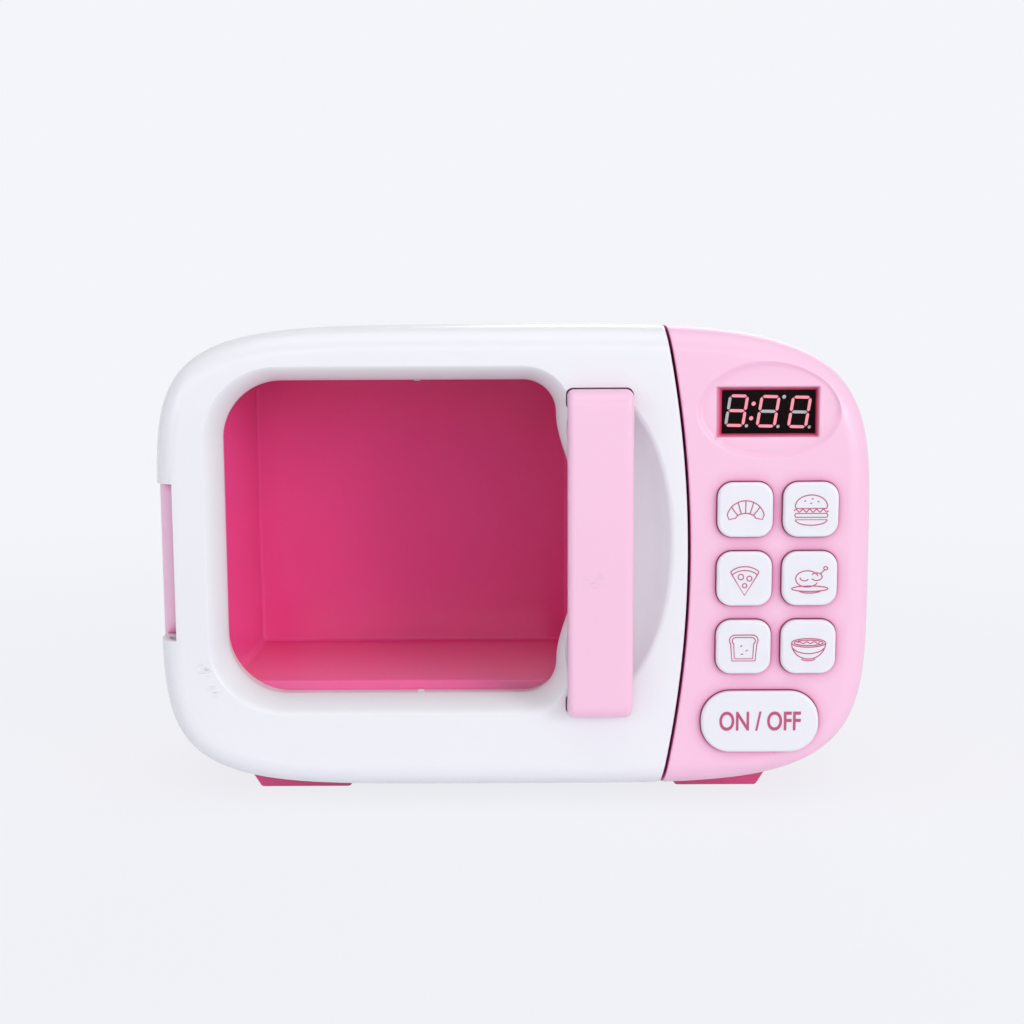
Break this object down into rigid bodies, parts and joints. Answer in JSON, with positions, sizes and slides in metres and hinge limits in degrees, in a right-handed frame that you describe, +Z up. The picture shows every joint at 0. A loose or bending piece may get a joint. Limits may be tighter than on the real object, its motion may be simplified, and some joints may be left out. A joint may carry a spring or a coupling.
{
  "type": "toy microwave",
  "caption": "Toy microwave with a hinged windowed door, pull handle, display, press buttons and an open cooking cavity.",
  "frame": {"origin": "on the ground under the middle of the overall box", "axes": "+X to the right of someone facing the door, +Y from the front to the back, +Z up"},
  "size_m": [0.2286, 0.11, 0.155],
  "materials": {
    "white_shell": "injection-moulded white ABS, glossy",
    "pale_pink_shell": "injection-moulded pale pink ABS, glossy",
    "hot_pink_shell": "injection-moulded hot pink ABS, glossy",
    "clear_window": "clear polystyrene sheet",
    "button_caps": "injection-moulded white ABS with printed pictograms",
    "steel_hardware": "zinc-plated steel",
    "display_black": "black display block behind a smooth face",
    "keypad_rubber": "grey silicone rubber",
    "board_laminate": "green coated circuit board",
    "cell_jacket": "plain grey printed cell jacket",
    "speaker_black": "black speaker cone and frame"
  },
  "bodies": {
    "case": {"front_chassis": "hot_pink_shell", "rear_housing": "hot_pink_shell", "battery_cover": "hot_pink_shell", "control_panel": "pale_pink_shell", "hinge_block": "pale_pink_shell", "hinge_pin": "steel_hardware", "display_module": "display_black", "keypad_mat": "keypad_rubber", "circuit_board": "board_laminate", "speaker": "speaker_black", "battery_contact_low": "steel_hardware", "battery_contact_high": "steel_hardware", "battery_cover_screw": "steel_hardware", "board_screw_1": "steel_hardware", "board_screw_2": "steel_hardware", "board_screw_3": "steel_hardware", "board_screw_4": "steel_hardware", "case_screw_1": "steel_hardware", "case_screw_2": "steel_hardware", "case_screw_3": "steel_hardware", "case_screw_4": "steel_hardware", "panel_screw_1": "steel_hardware", "panel_screw_2": "steel_hardware", "panel_screw_3": "steel_hardware", "panel_screw_4": "steel_hardware", "hinge_screw_1": "steel_hardware", "hinge_screw_2": "steel_hardware", "battery_1": "cell_jacket", "battery_2": "cell_jacket", "battery_3": "cell_jacket"},
    "door": {"door_front": "white_shell", "door_back": "white_shell", "window_pane": "clear_window", "door_handle": "pale_pink_shell", "handle_screw_1": "steel_hardware", "handle_screw_2": "steel_hardware", "door_screw_1": "steel_hardware", "door_screw_2": "steel_hardware", "door_screw_3": "steel_hardware", "door_screw_4": "steel_hardware"},
    "food_button_1_cap": {"food_button_1": "button_caps"},
    "food_button_2_cap": {"food_button_2": "button_caps"},
    "food_button_3_cap": {"food_button_3": "button_caps"},
    "food_button_4_cap": {"food_button_4": "button_caps"},
    "food_button_5_cap": {"food_button_5": "button_caps"},
    "food_button_6_cap": {"food_button_6": "button_caps"},
    "start_button_cap": {"start_button": "button_caps"}
  },
  "joints": [
    {"name": "door_hinge", "type": "hinge", "parent": "case", "child": "door", "pos_m": [-0.1093, -0.028, 0.0787], "axis": [0, 0, -1], "range_deg": [0, 100]},
    {"name": "food_button_1_press", "type": "slide", "parent": "case", "child": "food_button_1_cap", "axis": [0, 1, 0], "range_m": [0, 0.0015], "stiffness_N_per_m": 150, "springref_m": -0.001, "deforming": ["keypad_mat"]},
    {"name": "food_button_2_press", "type": "slide", "parent": "case", "child": "food_button_2_cap", "axis": [0, 1, 0], "range_m": [0, 0.0015], "stiffness_N_per_m": 150, "springref_m": -0.001, "deforming": ["keypad_mat"]},
    {"name": "food_button_3_press", "type": "slide", "parent": "case", "child": "food_button_3_cap", "axis": [0, 1, 0], "range_m": [0, 0.0015], "stiffness_N_per_m": 150, "springref_m": -0.001, "deforming": ["keypad_mat"]},
    {"name": "food_button_4_press", "type": "slide", "parent": "case", "child": "food_button_4_cap", "axis": [0, 1, 0], "range_m": [0, 0.0015], "stiffness_N_per_m": 150, "springref_m": -0.001, "deforming": ["keypad_mat"]},
    {"name": "food_button_5_press", "type": "slide", "parent": "case", "child": "food_button_5_cap", "axis": [0, 1, 0], "range_m": [0, 0.0015], "stiffness_N_per_m": 150, "springref_m": -0.001, "deforming": ["keypad_mat"]},
    {"name": "food_button_6_press", "type": "slide", "parent": "case", "child": "food_button_6_cap", "axis": [0, 1, 0], "range_m": [0, 0.0015], "stiffness_N_per_m": 150, "springref_m": -0.001, "deforming": ["keypad_mat"]},
    {"name": "start_button_press", "type": "slide", "parent": "case", "child": "start_button_cap", "axis": [0, 1, 0], "range_m": [0, 0.0015], "stiffness_N_per_m": 150, "springref_m": -0.001, "deforming": ["keypad_mat"]}
  ]
}
